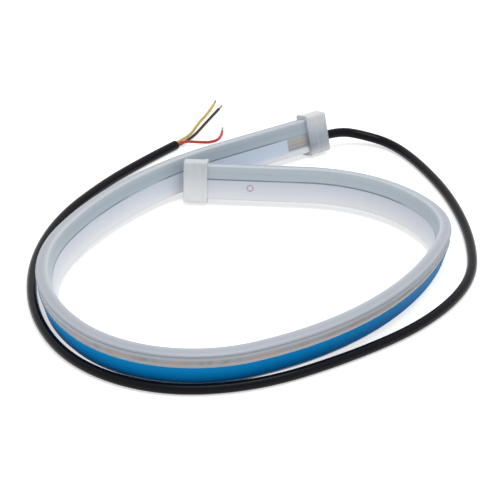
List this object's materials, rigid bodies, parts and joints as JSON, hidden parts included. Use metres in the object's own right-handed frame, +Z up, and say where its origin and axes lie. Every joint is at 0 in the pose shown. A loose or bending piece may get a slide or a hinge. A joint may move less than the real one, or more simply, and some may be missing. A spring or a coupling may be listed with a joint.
{
  "type": "led light strip",
  "caption": "Flexible silicone LED light strip for a car, rolled into a loose coil on its edge, with milky end caps, a blue-lined adhesive back and a black cable with bare cores.",
  "frame": {"origin": "middle of the rolled strip and its end caps, on the surface that it stands on", "axes": "+Z up across the strip's width, +Y towards the two strip ends, +X to the right seen with the ends at the back"},
  "size_m": [0.1994, 0.2892, 0.0207],
  "materials": {
    "silicone": "milky translucent silicone, satin",
    "cap_silicone": "moulded milky silicone, satin",
    "sealant": "cured clear sealant",
    "board_white": "white solder mask",
    "lamp_white": "white housing with a yellow window",
    "lamp_amber": "white housing with an amber window",
    "chip_black": "chip resistor body",
    "solder": "bright solder",
    "foam": "closed-cell acrylic foam tape",
    "liner_blue": "blue release film",
    "jacket_black": "satin black jacket",
    "core_yellow": "yellow core insulation",
    "core_red": "red core insulation",
    "core_black": "black core insulation",
    "tinned_copper": "tinned copper strands"
  },
  "bodies": {
    "root": {"silicone_profile": "silicone", "circuit_board": "board_white", "white_leds": "lamp_white", "amber_leds": "lamp_amber", "chip_resistors": "chip_black", "solder_joints": "solder", "yellow_lead": "core_yellow", "red_lead": "core_red", "black_lead": "core_black", "cable_end_sealant": "sealant", "free_end_sealant": "sealant", "cable_end_cap": "cap_silicone", "free_end_cap": "cap_silicone", "foam_tape": "foam", "release_liner": "liner_blue", "cable_jacket": "jacket_black", "yellow_core": "core_yellow", "red_core": "core_red", "black_core": "core_black", "yellow_tip": "tinned_copper", "red_tip": "tinned_copper", "black_tip": "tinned_copper"}
  },
  "joints": []
}
